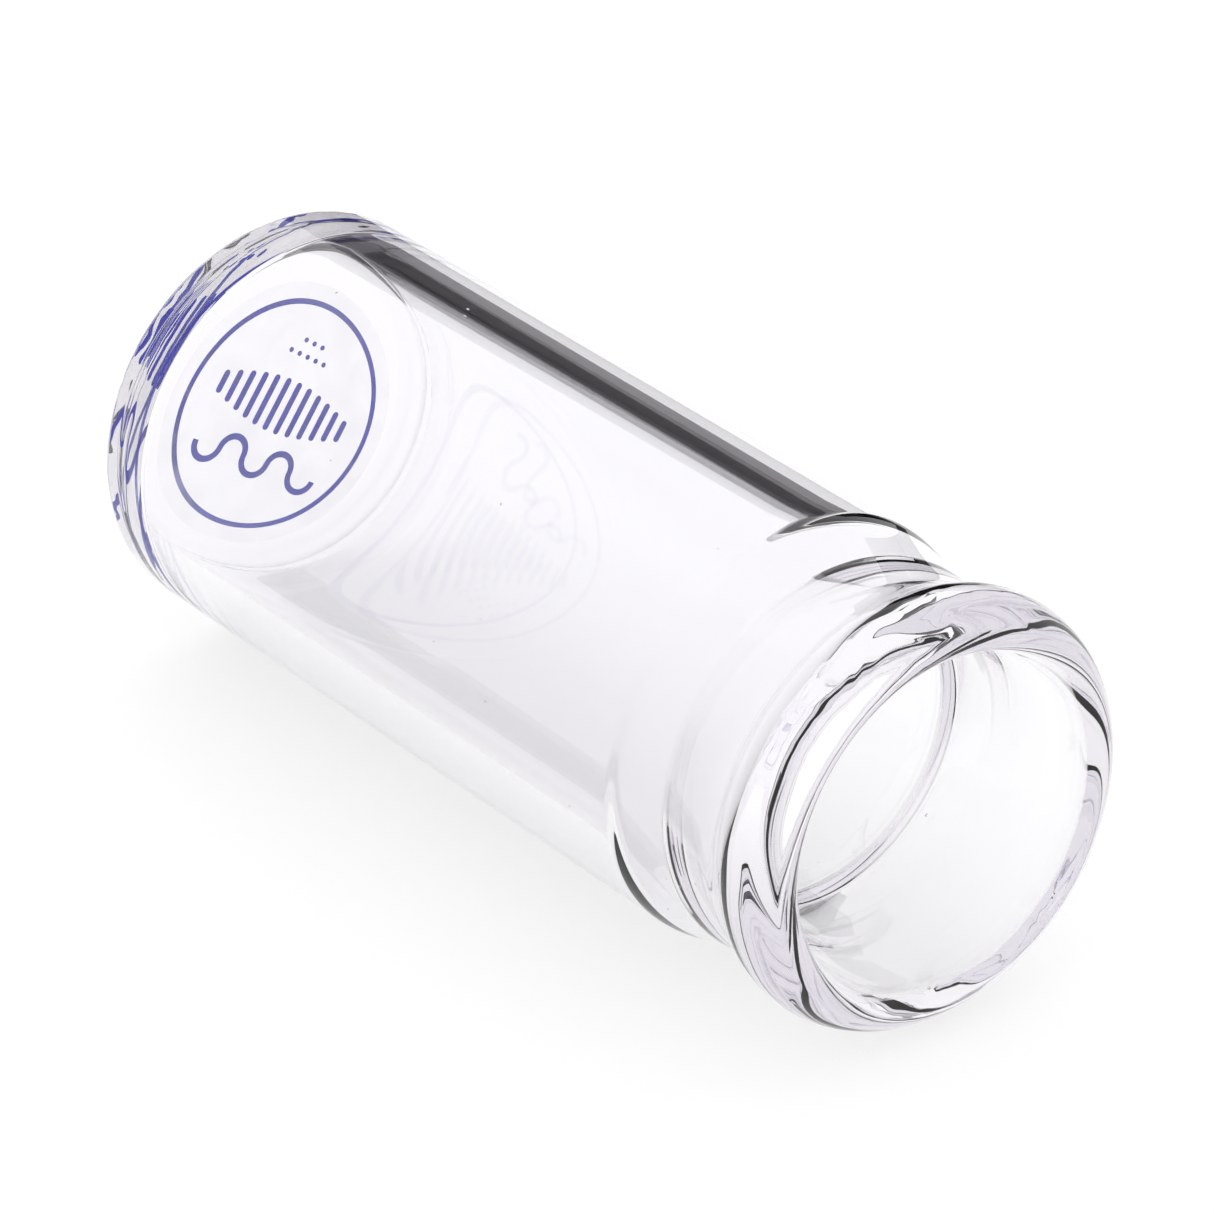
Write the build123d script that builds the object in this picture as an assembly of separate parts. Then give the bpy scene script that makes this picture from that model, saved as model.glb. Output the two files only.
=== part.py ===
from build123d import *
import os
from math import cos, pi, radians, sin

# Bottleneck slide for a guitar: a short, heavy clear glass bottle, open at the mouth and worn
# over one finger, with a round clear sticker on the outside of its closed base.
#
# The slide lies on its side. +X runs along its axis, from the base to the mouth, and +Z is up.
# The origin is on the surface it lies on, under the middle of its length.
# Lengths are millimetres and angles are degrees.

# Outside of the glass
BODY_RADIUS = 14.25
BODY_LENGTH = 54.0  # straight stretch, from the base face to where the shoulder starts
BASE_EDGE_RADIUS = 0.6
DISH_RADIUS = 10.8  # very shallow dish in the base, which keeps the sticker off a table
DISH_DEPTH = 0.15
DISH_EDGE = 0.6
SHOULDER_ARC_RADIUS = 3.0
SHOULDER_TURN = 16.5  # how steeply the shoulder falls into the neck
NECK_ARC_RADIUS = 24.5
COLLAR_ARC_RADIUS = 4.76
LIP_SLOPE = 32.0  # how steeply the neck climbs into the lip
LIP_ARC_RADIUS = 3.8
LIP_DROP = 50.0  # heading of the lip's front where the tighter nose takes over

# Inside of the glass. Its stations are measured from the base face
BASE_THICKNESS = 2.4
HEEL_RADIUS = 0.8  # rounded corner between the floor and the wall
BORE_RADIUS = 11.7
BORE_END = 53.2
BORE_END_ROUNDING = 2.0
THROAT_START = 56.4
THROAT_ROUNDING = 0.8
THROAT_END = 61.0
THROAT_RADIUS = 10.2  # the narrowest place, which a finger has to pass
MOUTH_RADIUS = 11.2

# Round clear sticker and its print, in the base's dish. The print's rows are placed up from the
# sticker's centre, as read by someone facing the base.
FILM_RADIUS = 9.4
FILM_THICKNESS = 0.08
INK_THICKNESS = 0.03
STICKER_OFFSET = (-0.2, -0.6)  # along Y and Z: it was put on a little off centre
STICKER_TURN = 215.5
RING_RADIUS = 8.1
RING_STROKE = 0.38
WAVE_HEIGHT = 3.3
WAVE_STROKE = 0.46
WAVE_ARC_RADIUS = 1.1
HALF_WAVES = 5
BAR_ROW_HEIGHT = -0.8
BAR_COUNT = 12
BAR_PITCH = 1.04
BAR_WIDTH = 0.46
BAR_TALLEST = 3.9
BAR_SHORTEST = 1.3
DOT_ROWS = {-4.5: 5, -5.5: 3}  # how many dots at each height
DOT_PITCH = 0.8
DOT_RADIUS = 0.18


def s_curve(start, end):
    """Two equal tangent arcs from start to end, level at both ends."""
    middle = (Vector(*start) + Vector(*end)) / 2
    along = (1 if end[0] > start[0] else -1, 0)
    first = TangentArc(Vector(*start), middle, tangent=along)
    TangentArc(middle, Vector(*end), tangent=first % 1)


def rounded(outline, corner, radius):
    """The outline with its corner at the given point rounded."""
    return fillet(outline.vertices().sort_by_distance(corner)[0], radius)


def glass_section():
    """Half section of the glass, with its axis on X and its base face at X = 0."""
    throat = (THROAT_START, THROAT_RADIUS)
    bore_end = (BORE_END, BORE_RADIUS)
    heel = (BASE_THICKNESS, BORE_RADIUS)
    with BuildSketch() as section:
        with BuildLine():
            dish = Line((DISH_DEPTH, 0), (DISH_DEPTH, DISH_RADIUS))
            rim = Line(dish @ 1, (0, DISH_RADIUS + DISH_EDGE))
            face = Line(rim @ 1, (0, BODY_RADIUS - BASE_EDGE_RADIUS))
            edge = JernArc(face @ 1, face % 1, BASE_EDGE_RADIUS, -90)
            side = Line(edge @ 1, (BODY_LENGTH, BODY_RADIUS))
            shoulder = JernArc(side @ 1, side % 1, SHOULDER_ARC_RADIUS, -SHOULDER_TURN)
            neck = JernArc(shoulder @ 1, shoulder % 1, NECK_ARC_RADIUS, SHOULDER_TURN)
            collar = JernArc(neck @ 1, neck % 1, COLLAR_ARC_RADIUS, LIP_SLOPE)
            lip = JernArc(collar @ 1, collar % 1, LIP_ARC_RADIUS, -LIP_SLOPE - LIP_DROP)
            nose_radius = ((lip @ 1).Y - MOUTH_RADIUS) / (1 + cos(radians(LIP_DROP)))
            nose = JernArc(lip @ 1, lip % 1, nose_radius, LIP_DROP - 180)
            s_curve(((nose @ 1).X, MOUTH_RADIUS), (THROAT_END, THROAT_RADIUS))
            Polyline((THROAT_END, THROAT_RADIUS), throat, bore_end, heel, (BASE_THICKNESS, 0), dish @ 0)
        make_face()
        rounded(section, throat, THROAT_ROUNDING)
        rounded(section, bore_end, BORE_END_ROUNDING)
        rounded(section, heel, HEEL_RADIUS)
    return section.sketch


def stick_on(shape, depth):
    """Place a shape, drawn flat on XY around the sticker's centre, depth above the dish's floor."""
    y, z = STICKER_OFFSET
    facing_out = Plane((DISH_DEPTH - depth, y, z), x_dir=(0, -1, 0), z_dir=(-1, 0, 0))
    return facing_out.location * Rot(0, 0, STICKER_TURN) * shape


def film_disc():
    """Clear round film, stuck flat in the dish."""
    return stick_on(extrude(Circle(FILM_RADIUS), FILM_THICKNESS), 0)


def ring(radius, stroke):
    """A circle drawn with a stroke of even width."""
    return Circle(radius + stroke / 2) - Circle(radius - stroke / 2)


def bar_row():
    """A row of upright bars, tall in the middle and short at both ends."""
    bars = []
    for i in range(BAR_COUNT):
        height = BAR_SHORTEST + (BAR_TALLEST - BAR_SHORTEST) * sin(pi * (i + 0.5) / BAR_COUNT)
        across = (i - (BAR_COUNT - 1) / 2) * BAR_PITCH
        bars.append(Pos(across, BAR_ROW_HEIGHT) * SlotOverall(height, BAR_WIDTH, rotation=90))
    return bars


def wave():
    """A wavy line of half circles, which bulge up and down in turn."""
    reach = 2 * WAVE_ARC_RADIUS + WAVE_STROKE
    line = Sketch()
    for i in range(HALF_WAVES):
        above = Pos(0, reach / 2) * Rectangle(reach, reach)
        half = ring(WAVE_ARC_RADIUS, WAVE_STROKE) & above
        across = (2 * i + 1 - HALF_WAVES) * WAVE_ARC_RADIUS
        line += Pos(across, WAVE_HEIGHT) * Rot(0, 0, 180 * (i % 2)) * half
    return line


def dot_rows():
    """Two short rows of small dots."""
    dots = []
    for height, count in DOT_ROWS.items():
        dots += [Pos((i - (count - 1) / 2) * DOT_PITCH, height) * Circle(DOT_RADIUS) for i in range(count)]
    return dots


def printed_ink():
    """The print: a ring, a wavy line, a row of bars and some dots, as thin layers of ink."""
    outlines = [ring(RING_RADIUS, RING_STROKE), wave(), *bar_row(), *dot_rows()]
    layers = [extrude(outline, INK_THICKNESS) for outline in outlines]
    return stick_on(Compound(children=layers), FILM_THICKNESS)


def main():
    os.makedirs("parts", exist_ok=True)
    glass = revolve(glass_section(), axis=Axis.X)
    length = glass.bounding_box().max.X
    lip_radius = glass.bounding_box().max.Z
    nodes = {"glass_bottle": glass, "label_film": film_disc(), "label_print": printed_ink()}
    for name, shape in nodes.items():
        export_step(Pos(-length / 2, 0, lip_radius) * shape, f"parts/{name}.step")
    print(f"length {length:.3f}, lip radius {lip_radius:.3f}")


main()
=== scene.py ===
from math import atan2, cos, degrees, radians, sin, tan, tau
from random import Random

import bmesh
import bpy
from mathutils import Matrix, Vector, noise


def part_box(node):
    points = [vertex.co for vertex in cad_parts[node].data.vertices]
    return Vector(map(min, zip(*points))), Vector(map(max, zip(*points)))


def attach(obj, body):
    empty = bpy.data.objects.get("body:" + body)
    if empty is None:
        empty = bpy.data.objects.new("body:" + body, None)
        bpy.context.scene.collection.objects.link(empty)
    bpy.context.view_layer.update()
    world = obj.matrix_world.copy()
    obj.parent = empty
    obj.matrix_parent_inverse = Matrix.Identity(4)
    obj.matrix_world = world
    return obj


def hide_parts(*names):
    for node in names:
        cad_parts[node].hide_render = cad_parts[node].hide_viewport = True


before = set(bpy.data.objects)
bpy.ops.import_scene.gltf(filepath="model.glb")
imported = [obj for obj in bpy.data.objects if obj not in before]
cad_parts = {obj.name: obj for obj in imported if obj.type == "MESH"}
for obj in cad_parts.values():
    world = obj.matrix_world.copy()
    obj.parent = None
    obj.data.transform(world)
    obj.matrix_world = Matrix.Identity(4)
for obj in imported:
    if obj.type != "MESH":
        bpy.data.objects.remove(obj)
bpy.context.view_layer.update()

# A clear glass bottleneck slide for a guitar, lying on its side on a pale table.
# Blender's units are metres. The glass is drawn in millimetres, as in the CAD model.
MM = 0.001

# Outline of the glass. Its stations run along the axis from the base face
BODY_RADIUS = 14.25
BODY_LENGTH = 54.0
BASE_EDGE_RADIUS = 0.6
DISH_RADIUS = 10.8
DISH_DEPTH = 0.05  # shallower than in CAD, so that the glass closes over the sticker, as adhesive does
DISH_EDGE = 0.6
SHOULDER_ARC_RADIUS = 3.0
SHOULDER_TURN = 16.5
NECK_ARC_RADIUS = 24.5
COLLAR_ARC_RADIUS = 4.76
LIP_SLOPE = 32.0
LIP_ARC_RADIUS = 3.8
LIP_DROP = 50.0
BASE_THICKNESS = 2.4
HEEL_RADIUS = 0.8
BORE_RADIUS = 11.7
BORE_END = 53.2
BORE_END_ROUNDING = 2.0
THROAT_START = 56.4
THROAT_ROUNDING = 0.8
THROAT_END = 61.0
THROAT_RADIUS = 10.2
MOUTH_RADIUS = 11.2

SEGMENTS = 480  # round the axis

# Unevenness of hand work, in millimetres. A size is a streak's width along the axis, and its
# length round the axis
LIP_STREAK = 0.018
LIP_STREAK_SIZE = (0.6, 12)
LIP_WAVE = 0.03
LIP_WAVE_SIZE = (5, 6)
BASE_RIPPLE = 0.025
BASE_RIPPLE_SIZE = (0.8, 1.0)
BODY_RIPPLE = 0.001
BODY_RIPPLE_SIZE = (9, 5)
WORKED_STRETCH = (57.0, 65.0)  # from the true body to the fully worked lip
BASE_STRETCH = 4.0  # how far from the base face its ripple reaches
WANDER = 4.0  # how far a streak drifts along the axis as it runs round it
WANDER_DETAIL = 2.0  # how often that drift changes on the way round
FLAT_RADIUS = 8.0  # inside this radius the base face and the floor stay flat
UNEVEN_RADIUS = BORE_RADIUS - 2  # outside this radius the unevenness is whole

# Seeds: tiny round bubbles in the wall, in millimetres
SEED_COUNT = 14
SEED_STRETCH = (8.0, 62.0)
SEED_SPREAD = 0.8  # how far they lie from the middle of the wall
SEED_RADII = (0.04, 0.13)
SEED_DRAW = 4  # the number that fixes their random places and radii

# Looks. The absorption and the scales of the sticker's patterns are per metre. Edges are the
# noise values between which a pattern changes over
GLASS_COLOUR = (0.974, 0.968, 0.985)
GLASS_IOR = 1.49
ABSORPTION_COLOUR = (0.2, 0.1, 0.27)
ABSORPTION_DENSITY = 5.0
FILM_COLOUR = (0.95, 0.95, 0.97)
FILM_ALPHA = (0.02, 0.07)
FILM_PATCH_SCALE = 260
FILM_PATCH_EDGES = (0.4, 0.7)
INK_COLOURS = ((0.006, 0.006, 0.76), (0.03, 0.028, 0.9))
INK_MOTTLE_SCALE = 900
INK_MOTTLE_EDGES = (0.35, 0.7)
INK_ALPHA = (1.0, 0.75)  # where it is whole, and where it is worn thin
INK_WEAR_SCALE = 330
INK_WEAR_EDGES = (0.5, 0.66)
FLOOR_COLOUR = (0.36, 0.36, 0.36)
FLOOR_GLOW = 0.66
BLACK_CARD_COLOUR = (0.012, 0.008, 0.012)
# The grey card is painted shade and reflection: its grey stands in for the floor before the black card,
# darkened by it and mirroring it
FLOOR_SHADE_CARD_COLOUR = (0.105, 0.095, 0.108)
DIM_CARD_COLOUR = (0.06, 0.055, 0.062)
WHITE = (1, 1, 1)

# Stage, in metres. The cards stand on one bearing from the origin
FLOOR_HALF_WIDTH = 3.0
CARD_BEARING = 135.0  # degrees from +X towards +Y, seen from above
CARD_DISTANCE = 0.30
CARD_HEIGHTS = (0.024, 0.079)
CARD_HALF_WIDTH = 0.09
APRON_START = 0.19
APRON_LIFT = 0.001
DIM_CARD_TOP = (0.29, 0.15)  # how far out and how high it goes
WORLD_STRENGTH = 1.08

# Camera. Azimuth 0 looks along +Y, with +X to the right. Distances are metres, and the lens and
# its sensor are millimetres
CAMERA_AZIMUTH = 52.43
CAMERA_ELEVATION = 28.79
CAMERA_DISTANCE = 0.4262
CAMERA_AIM = Vector((0.00104, 0, 0.0149))
CAMERA_LENS = 199.9
CAMERA_SENSOR = 36
CAMERA_CLIP_START = 0.01

bottle_low, bottle_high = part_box("glass_bottle")
BASE_X = bottle_low.x
AXIS_Z = (bottle_low.z + bottle_high.z) / 2


# ---------------------------------------------------------------- outline of the glass

class Pen:
    """Draws a smooth outline of points (along, radius), in millimetres."""

    def __init__(self, start, heading):
        self.points = [Vector(start)]
        self.heading = radians(heading)

    def line_to(self, end, steps):
        """Straight line to end, which leaves the heading as it is."""
        start = self.points[-1].copy()
        for i in range(1, steps + 1):
            self.points.append(start.lerp(Vector(end), i / steps))

    def arc(self, radius, turn, steps):
        """Arc that leaves along the heading and turns by turn degrees, to the left if turn is above 0."""
        side = 1 if turn > 0 else -1
        start = self.points[-1].copy()
        centre = start + side * radius * Vector((-sin(self.heading), cos(self.heading)))
        first = self.heading
        for i in range(1, steps + 1):
            heading = first + radians(turn) * i / steps
            self.points.append(centre + side * radius * Vector((sin(heading), -cos(heading))))
        self.heading = first + radians(turn)

    def s_curve(self, end, steps):
        """Two equal arcs to end, level at both ends."""
        step = Vector(end) - self.points[-1]
        radius = step.length_squared / (4 * abs(step.y))
        turn = 2 * degrees(atan2(abs(step.y), abs(step.x)))
        side = 1 if (step.x > 0) == (step.y > 0) else -1
        self.arc(radius, side * turn, steps)
        self.arc(radius, -side * turn, steps)
        self.points[-1] = Vector(end)

    def rounded_corner(self, corner, following, radius, steps):
        """Straight to a corner of the outline, rounded there towards the following point."""
        arriving = (Vector(corner) - self.points[-1]).normalized()
        leaving = (Vector(following) - Vector(corner)).normalized()
        turn = degrees(leaving.angle_signed(arriving))
        cut = radius * abs(tan(radians(turn) / 2))
        self.line_to(Vector(corner) - cut * arriving, steps)
        self.heading = atan2(arriving.y, arriving.x)
        self.arc(radius, turn, steps)


def glass_outline():
    """Outline of the glass from the middle of the base face, round the lip, to the floor's middle."""
    pen = Pen((DISH_DEPTH, 0), heading=90)
    pen.line_to((DISH_DEPTH, DISH_RADIUS), steps=12)
    pen.line_to((0, DISH_RADIUS + DISH_EDGE), steps=3)
    pen.line_to((0, BODY_RADIUS - BASE_EDGE_RADIUS), steps=6)
    pen.arc(BASE_EDGE_RADIUS, -90, steps=10)
    pen.line_to((BODY_LENGTH, BODY_RADIUS), steps=40)
    pen.arc(SHOULDER_ARC_RADIUS, -SHOULDER_TURN, steps=24)
    pen.arc(NECK_ARC_RADIUS, SHOULDER_TURN, steps=20)
    pen.arc(COLLAR_ARC_RADIUS, LIP_SLOPE, steps=16)
    pen.arc(LIP_ARC_RADIUS, -LIP_SLOPE - LIP_DROP, steps=36)
    nose_radius = (pen.points[-1].y - MOUTH_RADIUS) / (1 + cos(radians(LIP_DROP)))
    pen.arc(nose_radius, LIP_DROP - 180, steps=24)
    pen.s_curve((THROAT_END, THROAT_RADIUS), steps=12)
    throat = (THROAT_START, THROAT_RADIUS)
    bore_end = (BORE_END, BORE_RADIUS)
    heel = (BASE_THICKNESS, BORE_RADIUS)
    pen.rounded_corner(throat, bore_end, THROAT_ROUNDING, steps=10)
    pen.rounded_corner(bore_end, heel, BORE_END_ROUNDING, steps=10)
    pen.rounded_corner(heel, (BASE_THICKNESS, 0), HEEL_RADIUS, steps=24)
    pen.line_to((BASE_THICKNESS, 0), steps=12)
    return pen.points


# ---------------------------------------------------------------- the glass

def ramp(value, start, end):
    """0 at start, 1 at end, smooth between them and level beyond. end may be less than start."""
    t = min(1, max(0, (value - start) / (end - start)))
    return t * t * (3 - 2 * t)


def streaks(along, angle, size, seed):
    """Noise from -1 to 1 in streaks of the given size that run round the axis."""
    width, length = size
    around = WANDER_DETAIL * Vector((cos(angle), sin(angle)))
    drift = WANDER * noise.noise(Vector((*around, seed + 3)))
    reach = BODY_RADIUS / length
    return noise.noise(Vector((reach * cos(angle), reach * sin(angle) + seed, (along + drift) / width)))


def unevenness(along, angle, inside):
    """How far hand work left the wall from its true radius, in mm."""
    seed = 40 if inside else 0  # each side and each kind of unevenness has noise of its own
    worked = ramp(along, *WORKED_STRETCH)
    pulled = sin(angle) ** 4  # the tool drew the glass out at the top and at the bottom
    offset = LIP_STREAK * worked * pulled * streaks(along, angle, LIP_STREAK_SIZE, seed)
    near_side = (1 - cos(angle)) / 2
    offset += LIP_WAVE * worked * near_side * streaks(along, angle, LIP_WAVE_SIZE, seed + 7)
    cut = ramp(along, BASE_STRETCH, 0)
    offset += BASE_RIPPLE * cut * streaks(along, angle, BASE_RIPPLE_SIZE, seed + 13)
    offset += BODY_RIPPLE * streaks(along, angle, BODY_RIPPLE_SIZE, seed + 19)
    return offset


def place(along, radius, angle):
    """Point of the slide, in metres in the frame. The angle is measured from +Y towards +Z."""
    return Vector((BASE_X + along * MM, radius * cos(angle) * MM, AXIS_Z + radius * sin(angle) * MM))


def add_seeds(mesh):
    """Tiny round bubbles left in the wall, as hollows inside the glass."""
    chance = Random(SEED_DRAW)
    wall_middle = (BODY_RADIUS + BORE_RADIUS) / 2
    for _ in range(SEED_COUNT):
        along = chance.uniform(*SEED_STRETCH)
        from_axis = wall_middle + chance.uniform(-SEED_SPREAD, SEED_SPREAD)
        centre = place(along, from_axis, chance.uniform(0, tau))
        radius = chance.uniform(*SEED_RADII) * MM
        there = Matrix.Translation(centre)
        made = bmesh.ops.create_icosphere(mesh, subdivisions=2, radius=radius, matrix=there)
        bubble = {face for vert in made["verts"] for face in vert.link_faces}
        bmesh.ops.reverse_faces(mesh, faces=list(bubble))


def add_to_scene(name, data):
    """An object that shows a mesh or a camera."""
    obj = bpy.data.objects.new(name, data)
    bpy.context.scene.collection.objects.link(obj)
    return obj


def make_glass():
    """The glass as one closed, finely divided turned form, with the unevenness of hand work."""
    outline = glass_outline()
    front = max(range(len(outline)), key=lambda i: outline[i].x)
    mesh = bmesh.new()
    first = mesh.verts.new(place(outline[0].x, 0, 0))
    last = mesh.verts.new(place(outline[-1].x, 0, 0))
    rings = []
    for i, point in enumerate(outline[1:-1], 1):
        wall = ramp(point.y, FLAT_RADIUS, UNEVEN_RADIUS)
        ring = []
        for j in range(SEGMENTS):
            angle = tau * j / SEGMENTS
            offset = wall * unevenness(point.x, angle, inside=i > front)
            ring.append(mesh.verts.new(place(point.x, point.y + offset, angle)))
        rings.append(ring)
    for i in range(SEGMENTS):
        j = (i + 1) % SEGMENTS
        mesh.faces.new((first, rings[0][i], rings[0][j]))
        mesh.faces.new((last, rings[-1][j], rings[-1][i]))
        for ring, following in zip(rings, rings[1:]):
            mesh.faces.new((ring[i], following[i], following[j], ring[j]))
    bmesh.ops.recalc_face_normals(mesh, faces=mesh.faces)
    add_seeds(mesh)
    for face in mesh.faces:
        face.smooth = True
    data = bpy.data.meshes.new("blown_glass")
    mesh.to_mesh(data)
    mesh.free()
    return add_to_scene("blown_glass", data)


# ---------------------------------------------------------------- materials

def new_material(name, colour, roughness):
    """A node material, with its Principled shader."""
    material = bpy.data.materials.new(name)
    material.use_nodes = True
    shader = material.node_tree.nodes["Principled BSDF"]
    shader.inputs["Base Color"].default_value = (*colour, 1)
    shader.inputs["Roughness"].default_value = roughness
    return material, shader


def glass_material():
    """Clear glass with a faint violet cast, which deepens where more of it is looked through."""
    material, shader = new_material("clear_glass", GLASS_COLOUR, roughness=0.0)
    shader.inputs["IOR"].default_value = GLASS_IOR
    shader.inputs["Transmission Weight"].default_value = 1.0
    tree = material.node_tree
    absorption = tree.nodes.new("ShaderNodeVolumeAbsorption")
    absorption.inputs["Color"].default_value = (*ABSORPTION_COLOUR, 1)
    absorption.inputs["Density"].default_value = ABSORPTION_DENSITY
    tree.links.new(absorption.outputs["Volume"], tree.nodes["Material Output"].inputs["Volume"])
    return material


def noise_over(tree, scale, detail):
    """Noise from 0 to 1 that stays fixed to the object."""
    coordinates = tree.nodes.new("ShaderNodeTexCoord")
    texture = tree.nodes.new("ShaderNodeTexNoise")
    texture.inputs["Scale"].default_value = scale
    texture.inputs["Detail"].default_value = detail
    tree.links.new(coordinates.outputs["Object"], texture.inputs["Vector"])
    return texture.outputs["Fac"]


def spread(tree, value, edges, results):
    """Turn value, as it runs from one edge to the other, into a run from one result to the other."""
    node = tree.nodes.new("ShaderNodeMapRange")
    for name, number in zip(("From Min", "From Max", "To Min", "To Max"), (*edges, *results)):
        node.inputs[name].default_value = number
    tree.links.new(value, node.inputs["Value"])
    return node.outputs["Result"]


def film_material():
    """Clear film, hardly visible, with patches where its adhesive wetted the glass less well."""
    material, shader = new_material("clear_film", FILM_COLOUR, roughness=0.3)
    tree = material.node_tree
    patches = noise_over(tree, FILM_PATCH_SCALE, detail=2)
    tree.links.new(spread(tree, patches, FILM_PATCH_EDGES, FILM_ALPHA), shader.inputs["Alpha"])
    return material


def ink_material():
    """Blue print, a little uneven, and worn thin in places."""
    material, shader = new_material("blue_ink", INK_COLOURS[0], roughness=0.6)
    shader.inputs["Specular IOR Level"].default_value = 0.2
    tree = material.node_tree
    blue = tree.nodes.new("ShaderNodeValToRGB")
    for stop, edge, colour in zip(blue.color_ramp.elements, INK_MOTTLE_EDGES, INK_COLOURS):
        stop.position = edge
        stop.color = (*colour, 1)
    tree.links.new(noise_over(tree, INK_MOTTLE_SCALE, detail=3), blue.inputs["Fac"])
    tree.links.new(blue.outputs["Color"], shader.inputs["Base Color"])
    wear = noise_over(tree, INK_WEAR_SCALE, detail=4)
    tree.links.new(spread(tree, wear, INK_WEAR_EDGES, INK_ALPHA), shader.inputs["Alpha"])
    return material


def floor_material():
    """A pale table that glows a little, as one lit from below does, so that its shadows are light."""
    material, shader = new_material("pale_floor", FLOOR_COLOUR, roughness=0.6)
    shader.inputs["Emission Color"].default_value = (*WHITE, 1)
    shader.inputs["Emission Strength"].default_value = FLOOR_GLOW
    return material


def card_material(name, colour):
    """Matt card of one colour."""
    return new_material(name, colour, roughness=0.9)[0]


def dress(obj, material):
    """Make this the object's only material."""
    obj.data.materials.clear()
    obj.data.materials.append(material)


# ---------------------------------------------------------------- stage, lights and camera

def make_panel(name, corners, material):
    """A flat four-sided part of the stage."""
    data = bpy.data.meshes.new(name)
    data.from_pydata(corners, [], [(0, 1, 2, 3)])
    panel = add_to_scene(name, data)
    dress(panel, material)
    return panel


def make_floor():
    """The pale table, whose top is the surface that the slide lies on."""
    half = FLOOR_HALF_WIDTH
    corners = [(-half, -half, 0), (half, -half, 0), (half, half, 0), (-half, half, 0)]
    make_panel("floor", corners, floor_material())


def make_card(name, bottom, top, material):
    """A card from its bottom edge to its top edge, each given as how far out and how high.

    It shows only in reflections and through the glass.
    """
    bearing = radians(CARD_BEARING)
    out = Vector((cos(bearing), sin(bearing), 0))
    side = Vector((-sin(bearing), cos(bearing), 0)) * CARD_HALF_WIDTH
    low, high = [out * distance + Vector((0, 0, height)) for distance, height in (bottom, top)]
    card = make_panel(name, [low - side, low + side, high + side, high - side], material)
    card.visible_camera = False
    card.visible_diffuse = False
    card.visible_shadow = False


def make_cards():
    """A black card beyond the slide's far side, a dim one above it, and before it a grey apron of painted
    shade and reflection: it stands in for the floor that the black card shades and mirrors.
    """
    foot = (CARD_DISTANCE, CARD_HEIGHTS[0])
    head = (CARD_DISTANCE, CARD_HEIGHTS[1])
    make_card("card_black", foot, head, card_material("black_card", BLACK_CARD_COLOUR))
    make_card("card_high", head, DIM_CARD_TOP, card_material("dim_card", DIM_CARD_COLOUR))
    # Grey apron of painted shade and reflection, for the floor that the black card shades and mirrors
    near = (APRON_START, APRON_LIFT)
    make_card("card_floor_shade", near, foot, card_material("floor_shade_card", FLOOR_SHADE_CARD_COLOUR))


def make_world():
    """Even white light from all round."""
    world = bpy.data.worlds.new("studio")
    bpy.context.scene.world = world
    world.use_nodes = True
    background = world.node_tree.nodes["Background"]
    background.inputs["Color"].default_value = (*WHITE, 1)
    background.inputs["Strength"].default_value = WORLD_STRENGTH


def make_camera():
    """A long lens that looks into the mouth from above."""
    azimuth = radians(CAMERA_AZIMUTH)
    elevation = radians(CAMERA_ELEVATION)
    level = cos(elevation)
    towards = Vector((level * sin(azimuth), -level * cos(azimuth), sin(elevation)))
    data = bpy.data.cameras.new("camera")
    data.lens = CAMERA_LENS
    data.sensor_width = CAMERA_SENSOR
    data.clip_start = CAMERA_CLIP_START
    camera = add_to_scene("camera", data)
    camera.location = CAMERA_AIM + CAMERA_DISTANCE * towards
    camera.rotation_euler = towards.to_track_quat("Z", "Y").to_euler()
    bpy.context.scene.camera = camera


def set_light_paths():
    """Glass needs many bounces, and plain colours need a plain view transform."""
    scene = bpy.context.scene
    scene.view_settings.view_transform = "Standard"
    scene.cycles.max_bounces = 32
    scene.cycles.transmission_bounces = 28
    scene.cycles.glossy_bounces = 16
    scene.cycles.transparent_max_bounces = 16


glass = make_glass()
dress(glass, glass_material())
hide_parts("glass_bottle")
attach(glass, "root")
dress(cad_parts["label_film"], film_material())
dress(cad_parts["label_print"], ink_material())
make_floor()
make_cards()
make_world()
make_camera()
set_light_paths()
